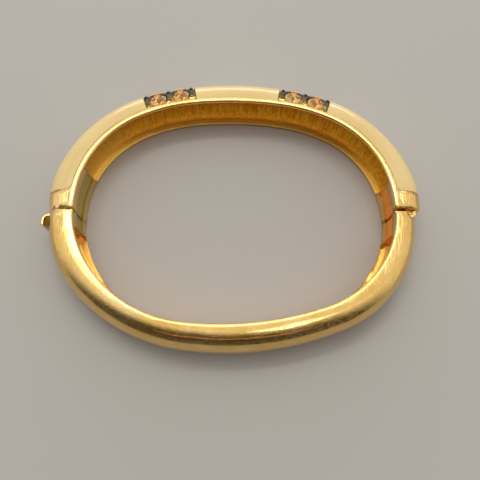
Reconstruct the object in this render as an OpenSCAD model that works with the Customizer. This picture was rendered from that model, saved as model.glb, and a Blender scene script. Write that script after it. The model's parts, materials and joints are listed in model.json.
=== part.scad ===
// Hinged oval bangle: an enamelled front half set with two groups of round stones, and a plain
// polished back half. The two halves meet at a pin hinge (+X end) and a box catch (-X end).
// Millimetres. The bangle lies on its side: +Z is the wearer's arm, the floor is z = 0.
// The plan of each half is a run of tangent arcs. An arc is named by the angle of its outward
// normal, 0 at the hinge end, 90 at the middle of the front and 270 at the middle of the back.

/* [Band] */
// Height of the band along the arm
band_h = 8.6; // [6:0.1:14]
// Clear half width of the wrist opening, from the middle to either joint
half_w = 30; // [24:0.5:36]
// Depth of the front dome, crest to the flat of its rim and on to the inner edge
front_t = 5.9; // [4:0.1:8]
// Depth of the back dome, crest to the flat of its rim
back_t = 4.8; // [3:0.1:6]
// Width of the rounded metal border beside the enamel
rim_w = 1.0; // [0.6:0.1:2]
// How far the dome's flat reaches in beside the border
rim_in = 0.95; // [0.5:0.05:2]
// Radius of the bands' inner edges
edge_r = 0.45; // [0.2:0.05:0.8]
// Squareness of the domes, 2 for an ellipse
dome_n = 2.2; // [2:0.1:4]
// Height that the rolled rim stands above the dome's flat, on each side
rim_rise = 0.1; // [0:0.02:0.3]
// Half height of the hollow behind the domes
hollow_w = 3.75; // [2:0.05:3.8]
// Depth of the hollow behind the front dome
hollow_d = 1.8; // [0.5:0.1:3]
// Thickness of metal left behind the back dome
back_wall = 2.3; // [1:0.1:3]

/* [Front plan, inner edge] */
// Radius of the arc next to each joint
f_r1 = 46.3; // [30:0.1:90]
// Sweep of the arc next to each joint
f_s1 = 4; // [0:0.1:20]
// Radius of the shoulder arc
f_r2 = 19.93; // [12:0.01:30]
// Sweep of the shoulder arc
f_s2 = 59.9; // [20:0.1:70]
// Radius of the arc between shoulder and middle
f_r3 = 32.5; // [20:0.1:60]
// Sweep of the arc between shoulder and middle
f_s3 = 17.9; // [5:0.1:30]
// Radius of the middle arc, which takes the sweep that is left
f_r4 = 63.9; // [30:0.1:120]

/* [Front plan, crest of the dome] */
// Distance of the crest from the middle at the hinge
g_x = 35.77; // [30:0.01:40]
// Angle by which the crest curves in at either joint
g_a = 12; // [0:0.5:20]
// Radius of the end arc
g_r1 = 17.67; // [8:0.01:60]
// Sweep of the end arc
g_s1 = 30; // [5:0.1:60]
// Radius of the shoulder arc
g_r2 = 27.68; // [16:0.01:40]
// Sweep of the shoulder arc
g_s2 = 40.7; // [20:0.1:70]
// Radius of the arc between shoulder and middle
g_r3 = 17.98; // [10:0.01:60]
// Sweep of the arc between shoulder and middle
g_s3 = 10.7; // [5:0.1:30]
// Radius of the middle arc, which takes the sweep that is left
g_r4 = 57.5; // [30:0.1:120]

/* [Back plan, inner edge] */
// Radius of the arc at the catch
b_r1 = 14.4; // [10:0.1:60]
// Sweep of the arc at the catch
b_s1 = 13.9; // [5:0.1:45]
// Radius of the shoulder on the catch side
b_r2 = 23.35; // [12:0.01:40]
// Sweep of the shoulder on the catch side
b_s2 = 69.8; // [20:0.1:80]
// Radius of the middle arc
b_r3 = 59.05; // [30:0.05:120]
// Sweep of the middle arc
b_s3 = 25.3; // [5:0.1:60]
// Radius of the shoulder on the hinge side
b_r4 = 20.56; // [12:0.01:40]
// Sweep of the shoulder on the hinge side
b_s4 = 60.1; // [20:0.1:75]
// Radius of the arc at the hinge, which takes the sweep that is left
b_r5 = 14; // [10:0.1:60]

/* [Back plan, crest of the dome] */
// Distance of the crest from the middle at the catch
o_x = 35.31; // [30:0.01:40]
// Radius of the arc at the catch
o_r1 = 22.12; // [12:0.01:60]
// Sweep of the arc at the catch
o_s1 = 42.1; // [5:0.1:60]
// Radius of the shoulder on the catch side
o_r2 = 33.46; // [16:0.01:60]
// Sweep of the shoulder on the catch side
o_s2 = 41.3; // [20:0.1:80]
// Radius of the middle arc
o_r3 = 58.01; // [30:0.01:120]
// Sweep of the middle arc
o_s3 = 29.1; // [5:0.1:60]
// Radius of the shoulder on the hinge side
o_r4 = 23.28; // [12:0.01:40]
// Sweep of the shoulder on the hinge side
o_s4 = 58.2; // [20:0.1:75]
// Radius of the arc at the hinge, which takes the sweep that is left
o_r5 = 23.78; // [12:0.01:60]

/* [Joints] */
// Gap between the two halves at the hinge
hinge_gap = 0.5; // [0.2:0.05:1]
// Gap between the two halves at the catch
catch_gap = 0.3; // [0.2:0.05:1]
// Y of the gap at the hinge
hinge_y = 0.35; // [-1:0.05:1]
// Y of the gap at the catch
catch_y = -0.5; // [-1:0.05:1]
// Rounding of the upper and lower edges of the front's end faces
front_round = 0.5; // [0.1:0.1:2]
// Rounding of the upper and lower edges of the back's end faces
back_round = 0.9; // [0.1:0.1:2]
// Rounding in plan of the front's outer corner at the hinge
cap_round = 1.3; // [0.5:0.1:3]
// Rounding in plan of the back's outer corner at the hinge
nose_round = 1.7; // [0.5:0.1:3]
// Rounding in plan of the back's outer corner at the catch
heel_round = 0.7; // [0.3:0.1:3]

/* [Enamel and stones] */
// Normal angle of the line where the metal end cap meets the enamel, at the hinge
cap_hinge = 1.8; // [-3:0.1:12]
// The same line at the catch, counted back from 180
cap_catch = -1.5; // [-3:0.1:12]
// Radius of the enamel's corners beside the caps
cap_r = 1.1; // [0.3:0.1:3]
// Normal angles of a stone group's two ends, counted from the middle of the front
group_in = 9.1; // [4:0.1:12]
// Far end of a stone group
group_out = 20.1; // [14:0.1:30]
// Thickness of the enamel
enamel_t = 0.8; // [0.3:0.05:1.2]
// Gap round each loose fitted piece
fit_gap = 0.05; // [0.02:0.01:0.15]
// How far the stones' metal lies below the enamel
group_drop = 0.15; // [0:0.05:0.6]
// Diameter of a stone
stone_d = 3.5; // [2:0.05:4]
// Depth of a stone's girdle below the metal round it
stone_sink = 0.22; // [0:0.01:0.6]
// Normal angle of a group's inner column, counted from the middle of the front
col_in = 12.25; // [8:0.05:14]
// Normal angle of a group's outer column
col_out = 17.25; // [15:0.05:24]
// Place of the rows next to the crest, in degrees of the dome curve
row_in = 23; // [10:0.5:35]
// Place of the rows next to the rims, in degrees of the dome curve
row_out = 71; // [45:0.5:80]
// Place of the beads between the outer and inner rows, in degrees of the dome curve
bead_row = 46; // [30:0.5:60]
// Radius of the beads that hold the stones
bead_r = 0.45; // [0.2:0.05:0.6]

/* [Hinge] */
// X of the pin
pin_x = 33.4; // [30:0.05:38]
// Y of the pin
pin_y = 0.05; // [-2:0.05:2]
// Radius of the pin
pin_r = 0.4; // [0.2:0.05:0.8]
// Outer radius of the knuckles
knuckle_r = 0.95; // [0.6:0.05:1.5]
// Half height of the three knuckles together
knuckle_h = 2.9; // [1.5:0.1:4]
// Clearance round a knuckle
knuckle_gap = 0.15; // [0.05:0.01:0.4]
// Length of the blocks that fill the hollow behind the hinge, as a normal angle
plate_a = 13.5; // [5:0.5:25]
// Half height of the recess in those blocks
recess_w = 2.3; // [1:0.1:3]
// Depth of the recess in those blocks
recess_d = 0.55; // [0.1:0.05:1]

/* [Catch] */
// Length of the catch box, as a normal angle
box_a = 19; // [10:1:30]
// Length of the block that fills the back's hollow behind the catch, as a normal angle
lock_a = 12; // [5:0.5:20]
// Half height of the plate that is let into the catch box
plate_w = 1.7; // [1:0.1:3]
// Depth that this plate is let in
plate_d = 0.22; // [0:0.02:0.6]
// Half height of the slot in the catch box
slot_w = 2.2; // [1:0.1:3]
// Half height of the tongue and the thumb tab
tongue_w = 1.8; // [1:0.1:2.6]
// Thickness of the tongue's two leaves
leaf_t = 0.36; // [0.2:0.02:0.8]

/* [Hidden] */
// Moves the middle of the whole bangle's box to x = 0, y = 0
centre_x = 0.15;
centre_y = -1.68;
hh = band_h / 2;
flat_h = hh - rim_rise;
// The bands' ends lie between these two distances from the middle
end_in = 29;
end_out = 38;
// Degrees by which each half's sweeps run past its end faces, which then cut them
front_past = 3;
back_past = 4;
// Distance of the outer faces from the middle beside the hinge, on the front and on the back
cap_x = g_x + 0.25;
nose_x = 34.65;
// Bend that joins the tongue's two leaves
fold_x = -32.6;
fold_y = 6.4;
fold_r = 0.63;
// Y of the fixed leaf's root in the block behind the catch
leaf_root = -4.5;
// Middle line of the sprung leaf in plan, from the bend to the tip of the thumb tab
lever_line = [[fold_x - fold_r + leaf_t / 2, fold_y - 0.06], [-33.2, 5], [-33.85, -0.2],
    [-34.0, -0.75], [-34.4, -0.97], [-35.2, -0.99], [-35.72, -1.08], [-36.08, -1.36],
    [-36.25, -1.85], [-36.28, -2.4], [-36.12, -3.0]];
// Plan of the slot in the catch box, which the folded tongue enters
slot_plan = [[-34.5, -3], [-34.5, -0.6], [-34.3, 2.2], [-33.75, 7.4], [-31.5, 7.4], [-31.5, -3]];
// Notch in the back's end for the thumb tab: its inner x, its lower y, its room beside the tab
notch_x = -33.1;
notch_y = -1.7;
notch_gap = 0.3;
f_s4 = 180 - 2 * (f_s1 + f_s2 + f_s3);
front_arcs = [[f_r1, f_s1], [f_r2, f_s2], [f_r3, f_s3], [f_r4, f_s4], [f_r3, f_s3], [f_r2, f_s2],
    [f_r1, f_s1]];
g_s4 = 180 + 2 * g_a - 2 * (g_s1 + g_s2 + g_s3);
dome_arcs = [[g_r1, g_s1], [g_r2, g_s2], [g_r3, g_s3], [g_r4, g_s4], [g_r3, g_s3], [g_r2, g_s2],
    [g_r1, g_s1]];
back_arcs = [[b_r1, b_s1], [b_r2, b_s2], [b_r3, b_s3], [b_r4, b_s4],
    [b_r5, 180 - b_s1 - b_s2 - b_s3 - b_s4]];
crest_arcs = [[o_r1, o_s1], [o_r2, o_s2], [o_r3, o_s3], [o_r4, o_s4],
    [o_r5, 180 - o_s1 - o_s2 - o_s3 - o_s4]];
gold = [0.86, 0.68, 0.36];
cream = [0.92, 0.83, 0.6];
peach = [0.9, 0.58, 0.35];

// Each arc as [centre x, centre y, radius, first angle, last angle]
function placed(arcs, x, y, a, i = 0) = i >= len(arcs) ? [] :
    let (r = arcs[i][0], b = a + arcs[i][1], cx = x - r * cos(a), cy = y - r * sin(a))
    concat([[cx, cy, r, a, b]], placed(arcs, cx + r * cos(b), cy + r * sin(b), b, i + 1));
front_run = placed(front_arcs, half_w, 0, 0);
dome_run = placed(dome_arcs, g_x, 0, -g_a);
back_run = placed(back_arcs, -half_w, 0, 180);
crest_run = placed(crest_arcs, -o_x, 0, 180);

// The arc that holds normal angle a, and the point u outside it
function arc_at(run, a, i = 0) =
    i == len(run) - 1 || a < run[i][4] ? run[i] : arc_at(run, a, i + 1);
function point_at(run, a, u) = let (k = arc_at(run, a))
    [k[0] + (k[2] + u) * cos(a), k[1] + (k[2] + u) * sin(a)];

// Set in a coarse and a fine step, so that neighbouring arcs meet exactly in the exported solid
function coarse(v) = round(v * 100) / 100;
module place(x, y) {
    translate([coarse(x), coarse(y), 0])
    translate([x - coarse(x), y - coarse(y), 0])
    children();
}

// Sweeps a section along a run of arcs, from normal angle lo to hi
module sweep(run, lo, hi) {
    for (i = [0 : len(run) - 1]) {
        s = i == 0 ? lo : max(lo, run[i][3]);
        e = i == len(run) - 1 ? hi : min(hi, run[i][4]);
        if (e > s)
            place(run[i][0], run[i][1])
            rotate_extrude(start = s, angle = e - s, $fn = 180)
            translate([run[i][2], 0])
            children();
    }
}

// The dome curve from below to above: depth t, half height h, from u = rim_in outward
function dome_u(t, d) = rim_in + (t - rim_in) * pow(abs(cos(d)), 2 / dome_n);
function dome_w(h, d) = h * sign(sin(d)) * pow(abs(sin(d)), 2 / dome_n);
function dome(t, h, d0, step) = [for (d = [-d0 : step : d0]) [dome_u(t, d), dome_w(h, d)]];
// Outward lean of the dome's normal above the mid plane
function dome_lean(t, h, d) = atan2(
    (dome_u(t, d - 1) - dome_u(t, d + 1)), (dome_w(h, d + 1) - dome_w(h, d - 1)));
// The inner corner of a rim, from the flat land down to the wall of the wrist opening
function corner(s) = [for (q = [0 : 15 : 90])
    [edge_r * (1 - sin(q)), s * (hh - edge_r * (1 - cos(q)))]];
// The outer shoulder of the rolled rim, from the dome's flat up to the land
function roll(s) = [[rim_w, s * (flat_h + 0.02)], [rim_w - 0.06, s * (hh - 0.05)],
    [rim_w - 0.16, s * (hh - 0.01)], [rim_w - 0.24, s * hh]];
function back_to_front(p) = [for (i = [len(p) - 1 : -1 : 0]) p[i]];
function scoop(w, d, u0) = [for (k = [0 : 8]) let (q = 90 - k * 22.5) [u0 + d * cos(q), w * sin(q)]];

// Everything nearer to the middle of the wrist than u from the inner edge
module inside(run, lo, hi, u) {
    sweep(run, lo, hi) polygon([[-8, -6], [u, -6], [u, 6], [-8, 6]]);
}

// A dome's section, measured from its crest: t deep, then flat inward as far as u
module dome_section(t, h, cut, u) {
    polygon(concat([[u, -h + cut]], [for (p = dome(t - cut, h - cut, 90, 7.5)) [p[0] - t, p[1]]],
        [[u, h - cut]]));
}

// The rolled rim and the hollow wall inside it, measured from the inner edge
module rim_section() {
    polygon(concat([[rim_w + 0.15, -hh + 0.3], [rim_w + 0.15, hh - 0.3]],
        roll(1), corner(1), back_to_front(corner(-1)), back_to_front(roll(-1))));
}

// The front's upper skin between normal angles lo and hi, from the rim outward, cut deep
module skin(lo, hi, cut) {
    difference() {
        sweep(dome_run, lo, hi) difference() {
            translate([-5.5, -6]) square([7, 12]);
            dome_section(front_t, flat_h, cut, -5.6);
        }
        inside(front_run, -2 * front_past, 180 + 2 * front_past, rim_w);
    }
}

// Puts a child on the dome of the stones' metal, its own Z along the dome's normal
module on_dome(a, d, deep = 0) {
    t = front_t - group_drop;
    h = flat_h - group_drop;
    p = point_at(dome_run, a, dome_u(t, d) - front_t);
    lean = dome_lean(t, h, d);
    translate([p[0], p[1], dome_w(h, d)])
    rotate([0, 0, a])
    rotate([0, 90 - lean, 0])
    translate([0, 0, -deep])
    children();
}

// The eight places of a group: two columns of four
function seat(side, n) = let (c = n > 4 ? col_out : col_in, r = (n - 1) % 4)
    [90 - side * c, [row_out, row_in, -row_in, -row_out][r]];

module seat_cut() {
    r = stone_d / 2 + fit_gap;
    translate([0, 0, -0.06]) cylinder(h = 3, r = r, $fn = 48);
    translate([0, 0, -0.46 * stone_d - 0.06]) cylinder(h = 0.46 * stone_d, r1 = 0.2, r2 = r, $fn = 48);
}

// A round brilliant: eight-sided table, crown and pavilion facets round a sixteen-sided girdle
module stone() {
    r = stone_d / 2;
    hull() {
        translate([0, 0, 0.1 * stone_d]) cylinder(h = 0.01, r = 0.57 * r, $fn = 8);
        rotate([0, 0, 22.5]) translate([0, 0, 0.065 * stone_d]) cylinder(h = 0.01, r = 0.82 * r, $fn = 8);
        translate([0, 0, -0.03]) cylinder(h = 0.06, r = r, $fn = 16);
        rotate([0, 0, 22.5]) translate([0, 0, -0.33 * stone_d]) cylinder(h = 0.01, r = 0.3 * r, $fn = 8);
        translate([0, 0, -0.43 * stone_d]) cylinder(h = 0.01, r = 0.03, $fn = 8);
    }
}

module set_stone(side, n) {
    q = seat(side, n);
    color(peach) home() on_dome(q[0], q[1], stone_sink) stone();
}

// Three columns of beads: between the two columns of stones, and in the bars beside them
module beads(side) {
    reach = stone_d / 2 / g_r4 * 180 / PI;
    for (c = [(group_in + col_in - reach) / 2, (col_in + col_out) / 2, (col_out + reach + group_out) / 2])
        for (d = [-bead_row, 0, bead_row])
            on_dome(90 - side * c, d, 0.12) sphere(r = bead_r, $fn = 32);
}

// Fills the corner between a cap's line and the rim, outside a circle of radius r.
// side 1 is the hinge, -1 the catch; the circle touches both the line and the rim.
module cap_corner(side, r) {
    line = side > 0 ? dome_run[0] : dome_run[6];
    band = side > 0 ? front_run[1] : front_run[5];
    a = side > 0 ? cap_hinge : 180 - cap_catch;
    along = [cos(a), sin(a)];
    in = side * [-sin(a), cos(a)];
    q = [line[0] - band[0], line[1] - band[1]] + cap_r * in;
    t = sqrt(pow(q * along, 2) - q * q + pow(band[2] + rim_w + cap_r, 2)) - q * along;
    c = [line[0], line[1]] + cap_r * in + t * along;
    out = (c - [band[0], band[1]]) / norm(c - [band[0], band[1]]);
    k = cap_r + 0.3;
    difference() {
        translate([0, 0, -hh - 1])
            linear_extrude(band_h + 2)
            polygon([c, c - k * in, c - k * in - k * out, c - k * out]);
        translate([c[0], c[1], -hh - 2]) cylinder(h = band_h + 4, r = r, $fn = 96);
    }
}

// Room in a plan window: everything on the far side of the joint
module beyond(x0, x1, y, dir) {
    translate([x0, dir > 0 ? y : y - 20, -hh - 2]) cube([x1 - x0, 20, band_h + 4]);
}

// Rounds the upper and lower edges of an end face at y, from x0 to x1; dir 1 where metal lies at +Y
module edge_rounds(x0, x1, y, dir, r) {
    for (s = [-1, 1])
        difference() {
            translate([x0, min(y - dir * 0.01, y + dir * r), s > 0 ? hh - r : -hh - 1])
                cube([x1 - x0, r + 0.01, r + 1]);
            translate([x0 - 1, y + dir * r, s * (hh - r)])
                rotate([0, 90, 0])
                cylinder(h = x1 - x0 + 2, r = r, $fn = 96);
        }
}

// Rounds an outer corner in plan: x of the crest, y of the end face, which side, which way
module corner_round(x, y, sx, dir, r) {
    difference() {
        translate([min(x - sx * r, x + sx * 2), min(y - dir * 0.01, y + dir * r), -hh - 1])
            cube([r + 2, r + 0.01, band_h + 2]);
        translate([x - sx * r, y + dir * r, -hh - 2]) cylinder(h = band_h + 4, r = r, $fn = 128);
    }
}

module knuckle(z0, z1, r) {
    translate([pin_x, pin_y, z0]) cylinder(h = z1 - z0, r = r, $fn = 64);
}

// A flat strip along a path in plan, t thick, standing from -w to w
function side_dir(p, i) = let (a = p[max(i - 1, 0)], b = p[min(i + 1, len(p) - 1)], l = norm(b - a))
    [-(b[1] - a[1]) / l, (b[0] - a[0]) / l];
module ribbon(p, t, w) {
    n = len(p);
    translate([0, 0, -w])
    linear_extrude(2 * w)
    polygon(concat([for (i = [0 : n - 1]) p[i] + side_dir(p, i) * t / 2],
        [for (i = [n - 1 : -1 : 0]) p[i] - side_dir(p, i) * t / 2]));
}

module home() {
    translate([centre_x, centre_y, hh]) children();
}

// Section of a shallow recess in the inner face: half height w, depth d
module shallow(w, d) {
    translate([-1, -w]) square([d + 1, 2 * w]);
}

module front_shell() {
    difference() {
        union() {
            difference() {
                sweep(dome_run, -g_a - 2 * front_past, 180 + g_a + 2 * front_past)
                    dome_section(front_t, flat_h, 0, -6.2);
                inside(front_run, -2 * front_past, 180 + 2 * front_past, rim_w);
            }
            sweep(front_run, -front_past, 180 + front_past) rim_section();
        }
        sweep(front_run, plate_a, 180 - box_a) polygon(scoop(hollow_w, hollow_d, -0.01));
        // The recess at the hinge and the plate let into the catch box
        sweep(front_run, -front_past, plate_a + 0.5) shallow(recess_w, recess_d);
        sweep(front_run, 179.5 - box_a, 180 + front_past) shallow(plate_w, plate_d);
    }
}

module front_band() color(gold) home() {
    z1 = knuckle_h / 3 + 0.05;
    y0 = hinge_y + hinge_gap / 2;
    y1 = catch_y + catch_gap / 2;
    difference() {
        union() {
            difference() {
                front_shell();
                // The end faces, and the roundings beside them
                beyond(0, 50, y0, -1);
                beyond(-50, 0, y1, -1);
                edge_rounds(end_in, end_out, y0, 1, front_round);
                edge_rounds(-end_out, -end_in, y1, 1, front_round);
                corner_round(cap_x, y0, 1, 1, cap_round);
                difference() {
                    skin(cap_hinge, 90 - group_out, enamel_t);
                    cap_corner(1, cap_r);
                }
                skin(90 - group_in, 90 + group_in, enamel_t);
                difference() {
                    skin(90 + group_out, 180 - cap_catch, enamel_t);
                    cap_corner(-1, cap_r);
                }
                skin(90 - group_out, 90 - group_in, group_drop);
                skin(90 + group_in, 90 + group_out, group_drop);
                // Room for the back half's knuckle
                knuckle(-z1, z1, knuckle_r + knuckle_gap);
            }
            for (s = [-1, 1]) {
                z0 = s > 0 ? z1 : -knuckle_h;
                knuckle(z0, z0 + knuckle_h - z1, knuckle_r);
                translate([pin_x - knuckle_r, pin_y, z0])
                    cube([2 * knuckle_r, 1.4, knuckle_h - z1]);
            }
            beads(1);
            beads(-1);
        }
        for (side = [-1, 1])
            for (n = [1 : 8]) {
                q = seat(side, n);
                on_dome(q[0], q[1], stone_sink) seat_cut();
            }
        knuckle(-4, 4, pin_r + 0.04);
        // Slot of the catch box
        translate([0, 0, -slot_w])
            linear_extrude(2 * slot_w)
            polygon(slot_plan);
    }
}

// An enamel panel lies in its pocket with fit_gap all round; the crest is about 0.6 mm a degree
module panel(lo, hi) {
    g = coarse(fit_gap / 0.6);
    difference() {
        sweep(dome_run, lo + g, hi - g) dome_section(front_t, flat_h, 0, -5.5);
        sweep(dome_run, lo - 2, hi + 2) dome_section(front_t, flat_h, enamel_t - fit_gap, -6);
        inside(front_run, -2 * front_past, 180 + 2 * front_past, rim_w + fit_gap);
    }
}
module enamel_hinge_side() color(cream) home() difference() {
    panel(cap_hinge, 90 - group_out);
    cap_corner(1, cap_r - fit_gap);
}
module enamel_middle() color(cream) home() panel(90 - group_in, 90 + group_in);
module enamel_catch_side() color(cream) home() difference() {
    panel(90 + group_out, 180 - cap_catch);
    cap_corner(-1, cap_r - fit_gap);
}

module back_band() color(gold) home() {
    z1 = knuckle_h / 3 - 0.05;
    y0 = hinge_y - hinge_gap / 2;
    y1 = catch_y - catch_gap / 2;
    difference() {
        union() {
            difference() {
                sweep(crest_run, 180 - back_past, 360 + back_past) dome_section(back_t, hh, 0, -9);
                sweep(crest_run, 180 + lock_a, 360 - plate_a)
                    polygon(concat([[-9, hollow_w]],
                    scoop(hollow_w, back_t - edge_r - back_wall, edge_r - back_t),
                    [[-9, -hollow_w]]));
                sweep(back_run, 180 - back_past, 360 + back_past)
                    polygon(concat([[-8, -6], [edge_r, -6]],
                    corner(-1), back_to_front(corner(1)), [[edge_r, 6], [-8, 6]]));
                // Recesses in the blocks that fill the hollow at either end
                sweep(back_run, 359 - plate_a, 360 + back_past) shallow(recess_w, recess_d);
                sweep(back_run, 180 - back_past, 181 + lock_a) shallow(plate_w, plate_d);
                beyond(0, 50, y0, 1);
                beyond(-50, 0, y1, 1);
                edge_rounds(end_in, end_out, y0, -1, back_round);
                edge_rounds(-end_out, -end_in, y1, -1, front_round);
                corner_round(nose_x, y0, 1, -1, nose_round);
                corner_round(-o_x, y1, -1, -1, heel_round);
                // Room for the front half's knuckles
                knuckle(z1, hh + 1, knuckle_r + knuckle_gap);
                knuckle(-hh - 1, -z1, knuckle_r + knuckle_gap);
                // Notch that the thumb tab passes through
                translate([-end_out, notch_y, -tongue_w - notch_gap])
                    cube([end_out + notch_x, 3, 2 * (tongue_w + notch_gap)]);
            }
            knuckle(-z1, z1, knuckle_r);
            // Fixed leaf of the tongue, with the bend at its tip
            translate([fold_x + fold_r - leaf_t, leaf_root, -tongue_w])
                cube([leaf_t, fold_y - leaf_root, 2 * tongue_w]);
            translate([fold_x, fold_y, -tongue_w])
                difference() {
                    cylinder(h = 2 * tongue_w, r = fold_r, $fn = 64);
                    translate([0, 0, -1]) cylinder(h = 9, r = fold_r - leaf_t, $fn = 64);
                    translate([-2, -2, -1]) cube([4, 2, 9]);
                }
        }
        knuckle(-4, 4, pin_r + 0.04);
    }
}

// The sprung leaf of the tongue, from just past the bend to the thumb tab outside the band
module catch_lever() color(gold) home() ribbon(lever_line, leaf_t, tongue_w);

module hinge_pin() color(gold) home()
    translate([pin_x, pin_y, -knuckle_h - 0.05]) cylinder(h = 2 * knuckle_h + 0.1, r = pin_r, $fn = 48);

front_band();
enamel_hinge_side();
enamel_middle();
enamel_catch_side();
for (n = [1 : 8]) {
    set_stone(1, n);
    set_stone(-1, n);
}
back_band();
catch_lever();
hinge_pin();
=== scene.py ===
# %% [markdown]
# # An enamelled bangle with a pin hinge, dressed over its CAD frame
# The real object is an oval bangle in two halves. The front half is gilt metal filled with cream
# enamel and set with small peach stones, and the back half is plain polished gilt metal. The
# solids come from the CAD file and are already in place, so this lesson is about their surfaces:
# how to give a CAD mesh the soft gloss of worn gold, how to cut stones that sparkle, and how to
# light a thing that is mostly reflection.

# %% Load the frame
import json
import math

import bmesh
import bpy
from mathutils import Matrix, Vector

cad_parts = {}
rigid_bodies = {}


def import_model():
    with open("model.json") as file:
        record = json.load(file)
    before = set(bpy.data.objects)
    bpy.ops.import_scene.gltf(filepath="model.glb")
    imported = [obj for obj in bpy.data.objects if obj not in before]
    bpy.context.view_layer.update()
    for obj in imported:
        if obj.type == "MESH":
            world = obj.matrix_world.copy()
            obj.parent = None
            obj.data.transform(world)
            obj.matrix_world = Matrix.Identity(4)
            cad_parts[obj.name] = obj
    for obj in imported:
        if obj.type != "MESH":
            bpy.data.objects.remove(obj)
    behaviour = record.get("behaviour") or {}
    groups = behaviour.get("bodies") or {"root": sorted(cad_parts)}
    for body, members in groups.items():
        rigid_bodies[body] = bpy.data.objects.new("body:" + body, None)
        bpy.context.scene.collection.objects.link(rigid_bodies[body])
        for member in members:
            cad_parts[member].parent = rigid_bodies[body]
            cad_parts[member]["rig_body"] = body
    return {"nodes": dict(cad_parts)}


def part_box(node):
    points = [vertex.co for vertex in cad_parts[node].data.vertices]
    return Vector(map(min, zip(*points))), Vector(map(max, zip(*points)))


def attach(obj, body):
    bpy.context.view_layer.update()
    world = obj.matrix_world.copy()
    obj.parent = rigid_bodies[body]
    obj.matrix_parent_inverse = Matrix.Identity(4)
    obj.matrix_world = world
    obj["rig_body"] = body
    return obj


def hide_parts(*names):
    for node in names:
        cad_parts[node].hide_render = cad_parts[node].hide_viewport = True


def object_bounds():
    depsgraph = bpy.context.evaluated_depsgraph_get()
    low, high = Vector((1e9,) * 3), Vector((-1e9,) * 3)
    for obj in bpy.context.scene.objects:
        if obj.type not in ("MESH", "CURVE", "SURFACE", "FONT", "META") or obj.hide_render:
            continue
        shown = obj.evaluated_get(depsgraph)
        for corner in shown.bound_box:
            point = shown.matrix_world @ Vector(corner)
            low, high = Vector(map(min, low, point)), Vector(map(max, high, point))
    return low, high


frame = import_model()
cad_box = [list(corner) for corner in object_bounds()]
MM = 0.001
MID_PLANE = (cad_box[0][2] + cad_box[1][2]) / 2
print("nodes:", len(frame["nodes"]), "box:", cad_box)

# %% [markdown]
# ## The camera
# The bangle is seen from above and a little in front, from very close, so the near half looks
# larger than the far half. A constraint could aim the camera, but it would keep it level, and this
# view is rolled by four degrees. A camera looks along its own -Z with +Y up, so its turn is built
# from three directions: right, up and back. The numbers were found by matching the oval and the
# two joints.

# %% Camera
EYE = Vector((-0.5864, -33.8863, 83.8645)) * MM
PITCH = math.radians(71.02144)
YAW = math.radians(3.54)
ROLL = math.radians(4.1314)
FOCAL_LENGTH = 33  # both in mm, on the film
FILM_WIDTH = 36
NEAREST = 0.005  # both in metres from the lens
FARTHEST = 10

ahead = math.cos(PITCH)
forward = Vector((math.sin(YAW) * ahead, math.cos(YAW) * ahead, -math.sin(PITCH)))
level = Vector((math.cos(YAW), -math.sin(YAW), 0))
upright = level.cross(forward)
right = level * math.cos(ROLL) + upright * math.sin(ROLL)
up = upright * math.cos(ROLL) - level * math.sin(ROLL)
turn = Matrix((right, up, -forward)).transposed().to_4x4()

lens = bpy.data.cameras.new("camera")
lens.sensor_width = FILM_WIDTH
lens.lens = FOCAL_LENGTH
lens.clip_start = NEAREST
lens.clip_end = FARTHEST
camera = bpy.data.objects.new("camera", lens)
camera.matrix_world = Matrix.Translation(EYE) @ turn
bpy.context.scene.collection.objects.link(camera)
bpy.context.scene.camera = camera
print("camera at", [round(v / MM, 1) for v in EYE], "mm")

# %% [markdown]
# ## Small helpers for materials
# A colour picked from a screen is in sRGB, and Blender's shaders work in linear light, so one
# function turns a hex value into linear numbers. Nodes could be added and wired one line at a
# time, but a worn metal has dozens. So one more function adds a node with its settings and its
# links, and each material stays a short list of lines.


# %% Material helpers
def tone(code):
    """Linear colour of a hex value."""
    parts = [int(code[i : i + 2], 16) / 255 for i in (1, 3, 5)]
    linear = [p / 12.92 if p <= 0.04045 else ((p + 0.055) / 1.055) ** 2.4 for p in parts]
    return (*linear, 1)


def material(name):
    """A new material and its main shader."""
    made = bpy.data.materials.new(name)
    made.use_nodes = True
    return made, made.node_tree.nodes["Principled BSDF"]


def add(made, kind, inputs=None, stops=(), **settings):
    """Add a node. An input takes a value, a socket, or a node, whose first output is meant.

    Stops are the places and colours of a colour ramp.
    """
    node = made.node_tree.nodes.new("ShaderNode" + kind)
    for key, value in settings.items():
        setattr(node, key, value)
    for key, value in (inputs or {}).items():
        if isinstance(value, bpy.types.Node):
            value = value.outputs[0]
        if isinstance(value, bpy.types.NodeSocket):
            made.node_tree.links.new(value, node.inputs[key])
        else:
            node.inputs[key].default_value = value
    for _ in stops[2:]:
        node.color_ramp.elements.new(0.5)
    for index, (place, colour) in enumerate(stops):
        node.color_ramp.elements[index].position = place
        node.color_ramp.elements[index].color = colour
    return node


def link(made, source, shader, name):
    """Join a socket, or a node's first output, to an input of the shader."""
    socket = source.outputs[0] if isinstance(source, bpy.types.Node) else source
    made.node_tree.links.new(socket, shader.inputs[name])


# a Mix node keeps its colour sockets at these places
FACTOR, FIRST, SECOND, MIXED = 0, 6, 7, 2
print("helpers ready")

# %% [markdown]
# ## Worn gilt metal: hairlines
# The metal is a thin layer of yellow gold over brass, polished on a soft wheel and then worn. Wear
# draws hairline scratches in every direction, and they are what makes polished metal look used.
# They could be modelled as grooves, but they are far too fine for that. Here each set is a noise
# stretched about thirty times along one direction and cut to its peaks. Real hairlines are finer
# than a pixel, so these are drawn 0.12 to 0.15 mm wide to show.

# %% Hairlines
BLACK = (0, 0, 0, 1)
WHITE = (1, 1, 1, 1)
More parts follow.
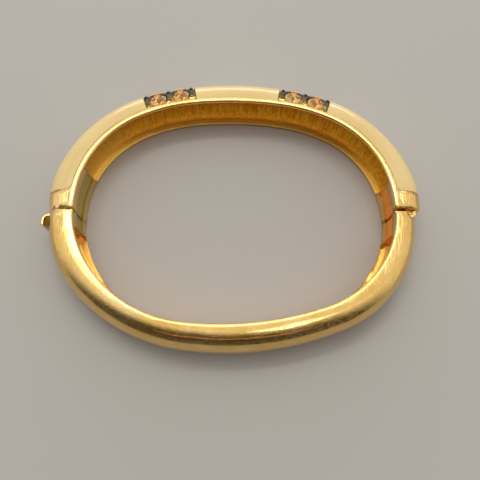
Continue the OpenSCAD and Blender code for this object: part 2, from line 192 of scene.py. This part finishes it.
# turn in radians, width and length of a line in mm
HAIRLINES = [
    ((0.3, 0.2, 0.5), 0.12, 5),
    ((1.1, 0.4, 1.9), 0.12, 4),
    ((0.2, 1.3, 2.6), 0.15, 4),
]
PEAKS = [(0.6, BLACK), (0.7, WHITE)]


def hairlines(made, where):
    """1 on a hairline and 0 beside it."""
    lines = 0.0
    for turn, width, length in HAIRLINES:
        scale = (1 / (width * MM), 1 / (length * MM), 1 / (width * MM))
        laid = add(made, "Mapping", {"Vector": where, "Rotation": turn, "Scale": scale})
        noise = add(made, "TexNoise", {"Vector": laid, "Scale": 1, "Detail": 2})
        line = add(made, "ValToRGB", {"Fac": noise}, stops=PEAKS)
        lines = add(made, "Math", {0: lines, 1: line}, operation="MAXIMUM")
    return lines


print("sets of hairlines:", len(HAIRLINES))

# %% [markdown]
# ## Worn gilt metal: the walls of the hollow
# The hollow inside the bangle was never polished, so it looks different from the outside, though
# both are one piece of metal. Two materials on chosen faces would do, but they meet in a hard
# line. So one material tells them apart: a wall of the hollow lies below the rims, and doesn't
# point away from the middle of the wrist opening. The opening is wider than it is deep, so the
# place is stretched nearly to a circle before the outward direction is read from it.

# %% Mask of the walls
ROUNDED = (1, 1.25, 0)
# a mask is 0 at From Min and 1 at From Max
TURNED_IN = {"From Min": 0.2, "From Max": 0.0}  # how far a face points outward
BELOW_RIM = {"From Min": 3.9 * MM, "From Max": 3.8 * MM}  # distance from the mid plane


def from_mid_plane(made, place):
    """Distance above or below the plane half way up the band."""
    lift = add(made, "Math", {0: place["Z"], 1: MID_PLANE}, operation="SUBTRACT")
    return add(made, "Math", {0: lift}, operation="ABSOLUTE")


def walls_of_hollow(made, where, away, facing):
    """1 on the walls of the hollow and 0 on the outside and the rims."""
    flat = add(made, "VectorMath", {0: where, 1: ROUNDED}, operation="MULTIPLY")
    outward = add(made, "VectorMath", {0: flat}, operation="NORMALIZE")
    pointing = add(made, "VectorMath", {0: outward, 1: facing}, operation="DOT_PRODUCT")
    turned_in = add(made, "MapRange", {"Value": pointing.outputs["Value"], **TURNED_IN})
    below_rim = add(made, "MapRange", {"Value": away, **BELOW_RIM})
    return add(made, "Math", {0: turned_in, 1: below_rim}, operation="MULTIPLY")


print("band reaches", round((cad_box[1][2] - MID_PLANE) / MM, 2), "mm from its mid plane")

# %% [markdown]
# ## Worn gilt metal: the blocks at the joints
# At both ends the hollow is filled by a block, of the hinge on one side and of the catch on the
# other. The blocks were polished like the outside, but the recess in each looks deeper in colour,
# orange at the hinge and olive at the catch. The blocks could have been nodes of their own, but on
# the real band they are soldered in and one piece with it. So they are found by place: by how far
# a point lies along Y from the middle of its block.

# %% Mask of the blocks
# middle and half length of each block along Y: To Min is the catch's and To Max the hinge's
BLOCK_MIDDLE = {"To Min": 0.7 * MM, "To Max": -0.7 * MM}
BLOCK_REACH = {"To Min": 6.2 * MM, "To Max": 5.7 * MM}
RECESS_HEIGHT = {"From Min": 2.4 * MM, "From Max": 2.2 * MM}  # distance from the mid plane
RECESS_DEPTH = {"From Min": 31.6 * MM, "From Max": 31.2 * MM}  # distance from the YZ plane


def blocks_at_joints(made, place, away, walls):
    """Masks of the filed walls and of the recesses, and 0 at the catch to 1 at the hinge."""
    end = add(made, "MapRange", {"Value": place["X"], "From Min": -MM, "From Max": MM})
    middle = add(made, "MapRange", {"Value": end, **BLOCK_MIDDLE})
    reach = add(made, "MapRange", {"Value": end, **BLOCK_REACH})
    along = add(made, "Math", {0: place["Y"], 1: middle}, operation="SUBTRACT")
    step = add(made, "Math", {0: along}, operation="ABSOLUTE")
    off_block = add(made, "Math", {0: step, 1: reach}, operation="GREATER_THAN")
    filed = add(made, "Math", {0: walls, 1: off_block}, operation="MULTIPLY")
    on_block = add(made, "Math", {0: walls, 1: filed}, operation="SUBTRACT")
    side = add(made, "Math", {0: place["X"]}, operation="ABSOLUTE")
    low = add(made, "MapRange", {"Value": away, **RECESS_HEIGHT})
    inner = add(made, "MapRange", {"Value": side, **RECESS_DEPTH})
    in_recess = add(made, "Math", {0: low, 1: inner}, operation="MULTIPLY")
    recess = add(made, "Math", {0: on_block, 1: in_recess}, operation="MULTIPLY")
    return filed, recess, end


print("half length of the blocks in mm:", [round(v / MM, 1) for v in BLOCK_REACH.values()])

# %% [markdown]
# ## Worn gilt metal: the filed hollow
# The wall of the hollow keeps the file marks that run across the band, and it has darkened to a
# brown gold. Marks could be cut one by one, but a noise stretched across the band gives the same
# uneven rows. They are 0.25 mm apart, as a coarse file leaves them. Towards the catch the wall is
# painted a paler gold: painted light, where light from the side falls on it. The lips of the
# hollow that look up are painted a duller gold than its wall, as painted shade that tones down the
# bright sky they mirror.

# %% Filed gold
MARKS_APART = 0.25 * MM
MARKS_LONG = 6 * MM
FILED_TONES = [(0.3, tone("#DC8804")), (0.5, tone("#FFB61C")), (0.66, tone("#FFD452"))]
PAINTED_LIGHT_SPAN = {"From Min": -17 * MM, "From Max": -38 * MM}  # along X, towards the catch
# how far a face looks up, for the painted shade on the lips
LIP_SHADE_SPAN = {"From Min": 0.2, "From Max": 1.1}


def filed_gold(made, where, place, facing):
    """Colour of the hollow, and the height of its file marks."""
    scale = (1 / MARKS_APART, 1 / MARKS_APART, 1 / MARKS_LONG)
    laid = add(made, "Mapping", {"Vector": where, "Scale": scale})
    marks = add(made, "TexNoise", {"Vector": laid, "Scale": 1, "Detail": 3})
    brown = add(made, "ValToRGB", {"Fac": marks}, stops=FILED_TONES)
    # painted light: the wall turns a paler gold towards the catch, where side light falls on it
    painted_light = add(made, "MapRange", {"Value": place["X"], **PAINTED_LIGHT_SPAN})
    wall = add(made, "Mix", {FACTOR: painted_light, FIRST: brown, SECOND: tone("#FFCF62")},
               data_type="RGBA").outputs[MIXED]
    # painted shade: lips that look up get a duller gold, toning down the bright sky they mirror
    upward = add(made, "SeparateXYZ", {"Vector": facing}).outputs["Z"]
    lip_shade = add(made, "MapRange", {"Value": upward, **LIP_SHADE_SPAN})
    colour = add(made, "Mix", {FACTOR: lip_shade, FIRST: wall, SECOND: tone("#DAA652")},
                 data_type="RGBA").outputs[MIXED]
    return colour, marks


print("file marks per cm:", round(10 * MM / MARKS_APART))

# %% [markdown]
# ## Worn gilt metal: the colour
# The outside is a pale yellow gold with soft patches of tarnish, 6 mm across. Light reaches the
# recesses of the blocks only off other gold, and each bounce deepens its colour. Enough bounces
# would be slow to render and hard to steer, so the deeper colour is given to the recess itself,
# and only a quarter of it is metallic. Gold plate elsewhere is metal all through, so its metallic
# is 1 and its IOR is left alone.

# %% Colour of the gilt metal
PATCH = 6 * MM
GOLD_TONES = [(0.35, tone("#EDC473")), (0.6, tone("#F6D087")), (0.8, tone("#FADA99"))]
RECESS_METALLIC = 0.25


def gilt_colour(made, shader, cloud, filed, recess, end, hollow_colour):
    """Wire the colour of the metal, and how much of it is bare."""
    outside = add(made, "ValToRGB", {"Fac": cloud}, stops=GOLD_TONES)
    deep = add(made, "Mix", {FACTOR: end, FIRST: tone("#B39B4E"), SECOND: tone("#FFA43C")},
               data_type="RGBA").outputs[MIXED]
    body = add(made, "Mix", {FACTOR: recess, FIRST: outside, SECOND: deep},
               data_type="RGBA").outputs[MIXED]
    colour = add(made, "Mix", {FACTOR: filed, FIRST: body, SECOND: hollow_colour},
                 data_type="RGBA").outputs[MIXED]
    link(made, colour, shader, "Base Color")
    bare = add(made, "Mix", {"Factor": recess, "A": 1.0, "B": RECESS_METALLIC})
    link(made, bare, shader, "Metallic")


print("tones of gold:", len(GOLD_TONES))

# %% [markdown]
# ## Worn gilt metal: the surface
# A soft wheel leaves a roughness near 0.1, a little more where the patches of tarnish are and on
# the hairlines. The blocks are rougher, and the filed wall is the roughest. The wheel also rounds
# every edge, more than the CAD solids show. A Bevel modifier would round them too, but it adds
# faces and fails on loose triangles, so a Bevel node rounds them in the shading alone.

# %% Gilt metal
POLISH = {"From Min": 0.3, "From Max": 0.75, "To Min": 0.09, "To Max": 0.17}
LINE_ROUGHNESS = 0.12  # added on a hairline
BLOCK_ROUGHNESS = 0.26
FILED_ROUGHNESS = 0.33
EDGE = 0.2 * MM
LINE_DEPTH = 0.025 * MM
MARK_DEPTH = 0.04 * MM


def gilt_surface(made, shader, cloud, walls, filed, lines, marks):
    """Wire the roughness of the metal, and its scratches and file marks."""
    dull = add(made, "MapRange", {"Value": cloud, **POLISH})
    rough = add(made, "Math", {0: lines, 1: LINE_ROUGHNESS, 2: dull}, operation="MULTIPLY_ADD")
    matt = add(made, "Mix", {"Factor": walls, "A": rough, "B": BLOCK_ROUGHNESS})
    rougher = add(made, "Mix", {"Factor": filed, "A": matt, "B": FILED_ROUGHNESS})
    link(made, rougher, shader, "Roughness")
    soft = add(made, "Bevel", {"Radius": EDGE}, samples=8)
    scratched = add(made, "Bump", {"Height": lines, "Strength": 0.6, "Distance": LINE_DEPTH,
                                   "Normal": soft}, invert=True)
    height = add(made, "Math", {0: marks, 1: filed}, operation="MULTIPLY")
    rows = add(made, "Bump", {"Height": height, "Strength": 0.7, "Distance": MARK_DEPTH,
                              "Normal": scratched})
    link(made, rows, shader, "Normal")


def gilt():
    """The whole finish, from the masks to the surface."""
    made, shader = material("polished_gold_plate_on_brass")
    where = add(made, "TexCoord").outputs["Object"]
    facing = add(made, "NewGeometry").outputs["True Normal"]
    place = add(made, "SeparateXYZ", {"Vector": where}).outputs
    away = from_mid_plane(made, place)
    walls = walls_of_hollow(made, where, away, facing)
    filed, recess, end = blocks_at_joints(made, place, away, walls)
    cloud = add(made, "TexNoise", {"Vector": where, "Scale": 1 / PATCH, "Detail": 4})
    hollow_colour, marks = filed_gold(made, where, place, facing)
    gilt_colour(made, shader, cloud, filed, recess, end, hollow_colour)
    gilt_surface(made, shader, cloud, walls, filed, hairlines(made, where), marks)
    return made


gold = gilt()
print("made", gold.name, "with", len(gold.node_tree.nodes), "nodes")

# %% [markdown]
# ## Painted dark reflection round the stones
# Between the stones the gold is painted dark olive, almost black: a painted dark reflection of
# the room, which these faces mirror. Beside the rim it is gold again. Paint on the faces would
# end in a line. Here the colour runs with the distance from the band's mid plane, and a fine
# grain makes the border uneven.

# %% Painted dark reflection
GRAIN = 0.5 * MM
BORDER_SWAY = 0.9 * MM
DARK_TO_GOLD_REACH = {"From Min": 4.2 * MM, "From Max": 4.7 * MM}  # from the mid plane, with the sway
# dark olive to gold: a painted dark reflection that fades to gold beside the rim
DARK_REFLECTION_TONES = [(0.0, tone("#3B3424")), (0.5, tone("#7A6A3C")), (1.0, tone("#E3BE6E"))]


def paint_dark_reflection():
    """Painted dark reflection near the mid plane, gold beside the rims."""
    made, shader = material("gilt_round_the_stones_with_painted_reflection")
    where = add(made, "TexCoord").outputs["Object"]
    place = add(made, "SeparateXYZ", {"Vector": where}).outputs
    away = from_mid_plane(made, place)
    shader.inputs["Metallic"].default_value = 1.0
    shader.inputs["Roughness"].default_value = 0.3
    grain = add(made, "TexNoise", {"Vector": where, "Scale": 1 / GRAIN, "Detail": 3})
    wave = add(made, "Math", {0: grain, 1: BORDER_SWAY, 2: away}, operation="MULTIPLY_ADD")
    faded_to_gold = add(made, "MapRange", {"Value": wave, **DARK_TO_GOLD_REACH})
    link(made, add(made, "ValToRGB", {"Fac": faded_to_gold}, stops=DARK_REFLECTION_TONES), shader, "Base Color")
    pits = add(made, "Bump", {"Height": grain, "Strength": 0.5, "Distance": 0.05 * MM})
    link(made, pits, shader, "Normal")
    return made


reflection_paint = paint_dark_reflection()
print("made", reflection_paint.name)

# %% [markdown]
# ## Cream enamel
# Vitreous enamel is coloured glass melted into the pockets of the metal and ground flush with its
# rims. It is nearly one colour, a little deeper where the layer is thick, under a glassy surface
# that ripples slightly where it was ground by hand. A plain colour would look like plastic, so a
# little light also enters it and comes out warmer, as in real enamel.

# %% Enamel
SHADE = 9 * MM
RIPPLE = 2.5 * MM
ENAMEL_TONES = [(0.3, tone("#DDBF7E")), (0.7, tone("#E5CA8D"))]


def vitreous():
    """Cream glass with a rippled skin."""
    made, shader = material("cream_vitreous_enamel")
    where = add(made, "TexCoord").outputs["Object"]
    shade = add(made, "TexNoise", {"Vector": where, "Scale": 1 / SHADE, "Detail": 3})
    link(made, add(made, "ValToRGB", {"Fac": shade}, stops=ENAMEL_TONES), shader, "Base Color")
    shader.inputs["Roughness"].default_value = 0.16
    shader.inputs["IOR"].default_value = 1.52
    shader.inputs["Subsurface Weight"].default_value = 0.15
    shader.inputs["Subsurface Radius"].default_value = (1.0, 0.7, 0.4)
    shader.inputs["Subsurface Scale"].default_value = 0.4 * MM
    ripple = add(made, "TexNoise", {"Vector": where, "Scale": 1 / RIPPLE, "Detail": 2})
    skin = add(made, "Bump", {"Height": ripple, "Strength": 0.08, "Distance": 0.05 * MM})
    link(made, skin, shader, "Normal")
    return made


enamel = vitreous()
print("made", enamel.name)

# %% [markdown]
# ## Peach stones: glass and foil
# The stones are paste: glass brilliants with a coloured foil behind them. The clear crown shows in
# its facets what the bright foil of the pavilion throws back. A coloured glass alone would need a
# much brighter room. The glass starts from the 1.52 of window glass. A lower IOR mirrors less of
# the grey room in the crown, and 1.42 lets the peach of the foil through. The foil's colour
# changes over 0.8 mm, so that neighbouring facets differ.

# %% Stone finishes
FOIL_PATCH = 0.8 * MM
FOIL_TONES = [(0.35, tone("#FFC068")), (0.65, tone("#FFF0C6"))]


def clear_glass():
    """The crown of a stone."""
    made, shader = material("peach_paste_glass")
    shader.inputs["Base Color"].default_value = tone("#FFF0D6")
    shader.inputs["Transmission Weight"].default_value = 1.0
    shader.inputs["Roughness"].default_value = 0.01
    shader.inputs["IOR"].default_value = 1.42
    return made


def foil():
    """The lining of a stone's pavilion."""
    made, shader = material("orange_foil_behind_the_stones")
    where = add(made, "TexCoord").outputs["Object"]
    shade = add(made, "TexNoise", {"Vector": where, "Scale": 1 / FOIL_PATCH, "Detail": 2})
    link(made, add(made, "ValToRGB", {"Fac": shade}, stops=FOIL_TONES), shader, "Base Color")
    shader.inputs["Metallic"].default_value = 0.76
    shader.inputs["Roughness"].default_value = 0.06
    return made


glass = clear_glass()
backing = foil()
print("made", glass.name, "and", backing.name)

# %% [markdown]
# ## Smooth copies of the CAD pieces
# The CAD mesh is exact at its points, but it is made of loose triangles, and polished metal would
# show every strip of a curve. A Subdivision Surface would round it, but would also pull it out of
# its true size. So each piece is copied, its loose corners are merged, and its faces are shaded
# smoothly, with edges sharper than thirty degrees kept crisp. Long thin triangles tilt the
# shading of the flat face beside them, and show as wavy reflections. The Weighted Normal
# modifier lets the large faces decide, and the waves are gone.

# %% Smooth copies
TOUCHING = 0.002 * MM  # corners closer than this are one
CRISP = math.radians(30)


def smooth_copy(node, finish):
    """A merged, smoothly shaded copy that takes a CAD node's place."""
    source = frame["nodes"][node]
    work = bmesh.new()
    work.from_mesh(source.data)
    bmesh.ops.remove_doubles(work, verts=work.verts, dist=TOUCHING)
    mesh = bpy.data.meshes.new(node + "_finish")
    work.to_mesh(mesh)
    work.free()
    for face in mesh.polygons:
        face.use_smooth = True
        face.material_index = 0
    mesh.set_sharp_from_angle(angle=CRISP)
    mesh.materials.append(finish)
    piece = bpy.data.objects.new(node + "_finish", mesh)
    bpy.context.scene.collection.objects.link(piece)
    even = piece.modifiers.new("even_shading", "WEIGHTED_NORMAL")
    even.keep_sharp = True
    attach(piece, source["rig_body"])
    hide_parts(node)
    return piece


METAL = ["front_band", "back_band", "catch_lever", "hinge_pin"]
ENAMEL = ["enamel_hinge_side", "enamel_middle", "enamel_catch_side"]
for node in METAL:
    smooth_copy(node, gold)
for node in ENAMEL:
    smooth_copy(node, enamel)
print("smooth copies:", len(METAL) + len(ENAMEL))

# %% [markdown]
# ## Peach stones: finding the seats
# Each CAD stone already sits in its seat, cut with plain facets. Its place could be typed in
# again, but then it would be wrong as soon as the CAD changes. Its largest flat face is the table,
# so the table's middle and normal say where the new stone goes, and the corner furthest from that
# axis gives its radius.


# %% Table of a stone
def table_of(shape):
    """Middle and normal of a cut stone's largest flat face, and the stone's radius."""
    cut = bmesh.new()
    cut.from_mesh(shape.data)
    bmesh.ops.remove_doubles(cut, verts=cut.verts, dist=TOUCHING)
    bmesh.ops.dissolve_limit(cut, angle_limit=math.radians(1), verts=cut.verts, edges=cut.edges)
    table = max(cut.faces, key=lambda face: face.calc_area())
    middle, normal = table.calc_center_median(), table.normal.copy()
    radius = max((v.co - middle).cross(normal).length for v in cut.verts)
    cut.free()
    return middle, normal, radius


stones = [node for node in frame["nodes"] if node.startswith("stone")]
widths = [round(table_of(frame["nodes"][node])[2] * 2 / MM, 2) for node in stones]
print("stones:", len(stones), "width in mm:", sorted(set(widths)))

# %% [markdown]
# ## Peach stones: cutting
# A real stone is ground facet by facet on a wheel. A painted ball would look dead, so each stone
# gets true facets: an eight-sided table, a ring of corners down the crown, a sixteen-sided girdle
# and a pavilion that ends in a point. Facets could be cut from a ball with planes, one by one.
# It is shorter to place only the rings of corners and to let the convex hull operator lay the
# facets between them. The facets below the girdle carry the foil.

# %% Cut stones
TABLE_HEIGHT = 0.1  # of the CAD stone's table over its girdle, in girdle diameters
BACKED = -0.02  # facets whose middle is lower than this carry foil, in girdle radii
# corners, radius in girdle radii, height in girdle diameters, twist in degrees
RINGS = [
    (8, 0.50, 0.12, 0),
    (8, 0.80, 0.085, 22.5),
    (16, 0.99, 0.012, 0),
    (16, 0.99, -0.012, 0),
    (8, 0.48, -0.25, 22.5),
    (8, 0.02, -0.43, 0),
]


def cut_stone(node):
    """A brilliant in the place of a CAD stone. Gives back the number of its triangles."""
    source = frame["nodes"][node]
    middle, normal, radius = table_of(source)
    girdle = middle - normal * (TABLE_HEIGHT * 2 * radius)
    seat = Matrix.Translation(girdle) @ normal.to_track_quat("Z", "Y").to_matrix().to_4x4()
    stone = bmesh.new()
    for corners, wide, high, twist in RINGS:
        lift = Matrix.Translation((0, 0, high * 2 * radius))
        spin = Matrix.Rotation(math.radians(twist), 4, "Z")
        bmesh.ops.create_circle(stone, segments=corners, radius=wide * radius,
                                matrix=seat @ (lift @ spin))
    bmesh.ops.convex_hull(stone, input=stone.verts)
    loose = [edge for edge in stone.edges if not edge.link_faces]
    bmesh.ops.delete(stone, geom=loose, context="EDGES")
    bmesh.ops.recalc_face_normals(stone, faces=stone.faces)
    for face in stone.faces:
        height = (face.calc_center_median() - girdle).dot(normal)
        face.material_index = int(height < BACKED * radius)
    mesh = bpy.data.meshes.new(node + "_cut")
    stone.to_mesh(mesh)
    stone.free()
    mesh.materials.append(glass)
    mesh.materials.append(backing)
    piece = bpy.data.objects.new(node + "_cut", mesh)
    bpy.context.scene.collection.objects.link(piece)
    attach(piece, source["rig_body"])
    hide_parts(node)
    return len(mesh.polygons)


print("triangles of each stone:", {cut_stone(node) for node in stones})

# %% [markdown]
# ## Painting the dark reflection between the stones
# The floor of a stone group, its beads and its seats are part of the front band, so the painted
# dark reflection is given to faces. A mask in the gold's nodes would need the place of every
# stone.
# Faces can be asked how near they are to one: a face takes the painted dark reflection if it is
# close to a stone's middle, lies below the rims, and isn't on the wall of the hollow, which is
# deeper than the stones.

# %% Faces with the painted dark reflection
NEAR = 3.1 * MM  # from the middle of a stone
RIM_FLAT = 4.1 * MM  # the rims are further than this from the mid plane
PROUD = 0.3 * MM  # whatever stands this far out from a stone's middle is a bead or the floor
DEEPEST = -1.45 * MM  # the seats end here, and the wall of the hollow begins
FACING_IN = -0.3  # faces that point inward more than this are on the wall of the hollow

band = bpy.data.objects["front_band_finish"].data
# the band's second slot holds the painted dark reflection
band.materials.append(reflection_paint)
seats = [sum((Vector(corner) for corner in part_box(node)), Vector()) / 2 for node in stones]


def among_stones(face):
    """Whether a face of the band lies on the floor, the beads or the seats of a stone group."""
    offset = min((face.center - seat for seat in seats), key=lambda step: step.length)
    outward = Vector((face.center.x, face.center.y, 0)).normalized()
    depth = offset.dot(outward)
    in_group = depth > DEEPEST and face.normal.dot(outward) > FACING_IN
    below_rim = abs(face.center.z - MID_PLANE) < RIM_FLAT
    return (depth > PROUD or in_group) and offset.length < NEAR and below_rim


# faces among the stones take the painted dark reflection
for face in band.polygons:
    face.material_index = int(among_stones(face))
print("blackened faces:", sum(face.material_index for face in band.polygons))

# %% [markdown]
# ## Floor
# The bangle lies on a sheet of pale matt paper, as in a photographer's studio. There the paper
# curves up behind the object. This camera looks down and sees only the flat part, so a single
# large face is enough.

# %% Floor
FLOOR_REACH = 1.2  # metres from its middle to each side

work = bmesh.new()
bmesh.ops.create_grid(work, x_segments=1, y_segments=1, size=FLOOR_REACH)
floor_mesh = bpy.data.meshes.new("floor")
work.to_mesh(floor_mesh)
work.free()
paper, sheet = material("pale_matt_paper")
sheet.inputs["Base Color"].default_value = tone("#B4B1AC")
sheet.inputs["Roughness"].default_value = 0.9
floor_mesh.materials.append(paper)
floor = bpy.data.objects.new("floor", floor_mesh)
bpy.context.scene.collection.objects.link(floor)
print("floor made of", paper.name)

# %% [markdown]
# ## Lamps
# Gold has almost no colour of its own in the dark: it shows what stands round it. So each lamp is
# a softbox, a lit rectangle that the metal can mirror, and its shape matters as much as its
# strength. The window is wide and low behind the bangle, and draws the long highlight along the
# inner edges. The ceiling fills the top, and the tube beside it draws a brighter line there. The
# glint is small and lights the facets and the hinge side. The strip in front is thin and warm,
# and draws one line along the dome. Every lamp points at the middle of the bangle.

# %% Lamps
# name, place, width and height in metres, watts, colour
LAMPS = [
    ("window", (0, 0.5, 0.09), 0.6, 0.12, 0.7, "#FFFFFF"),
    ("ceiling", (-0.05, 0.2, 0.5), 0.45, 0.3, 0.55, "#FFFFFF"),
    ("glint", (0.12, -0.12, 0.5), 0.12, 0.12, 0.12, "#FFFFFF"),
    ("strip", (0, -0.43, 0.38), 0.5, 0.012, 0.05, "#FFB870"),
    ("tube", (-0.05, 0.2, 0.48), 0.35, 0.04, 0.4, "#FFFFFF"),
]

for name, place, wide, high, watts, colour in LAMPS:
    lamp = bpy.data.lights.new(name, "AREA")
    lamp.shape = "RECTANGLE"
    lamp.size = wide
    lamp.size_y = high
    lamp.energy = watts
    lamp.color = tone(colour)[:3]
    softbox = bpy.data.objects.new(name, lamp)
    softbox.location = place
    softbox.rotation_euler = (-Vector(place)).to_track_quat("-Z", "Y").to_euler()
    bpy.context.scene.collection.objects.link(softbox)
print("lamps:", [lamp[0] for lamp in LAMPS])

# %% [markdown]
# ## Room
# The rest of the light comes from the room. One even colour all round would make the dome look
# flat. This room is bright behind the bangle and fades to nearly dark in front, so that the
# front of the dome goes deep. In the shader of a world, the coordinate called Generated is the
# direction looked in.

# %% Room
TO_THE_BACK = (0.12, 0.99, 0)
FADE = {"From Min": -0.58, "From Max": -0.04, "To Min": 0.05, "To Max": 0.9}

room = bpy.data.worlds.new("room")
room.use_nodes = True
bpy.context.scene.world = room
looked_in = add(room, "TexCoord").outputs["Generated"]
behind = add(room, "VectorMath", {0: looked_in, 1: TO_THE_BACK}, operation="DOT_PRODUCT")
glow = add(room, "MapRange", {"Value": behind.outputs["Value"], **FADE},
           interpolation_type="SMOOTHSTEP")
air = room.node_tree.nodes["Background"]
air.inputs["Color"].default_value = tone("#FBF6EE")
link(room, glow, air, "Strength")
bpy.context.scene.view_settings.view_transform = "Standard"
print("room brightness from", FADE["To Min"], "in front to", FADE["To Max"], "behind")
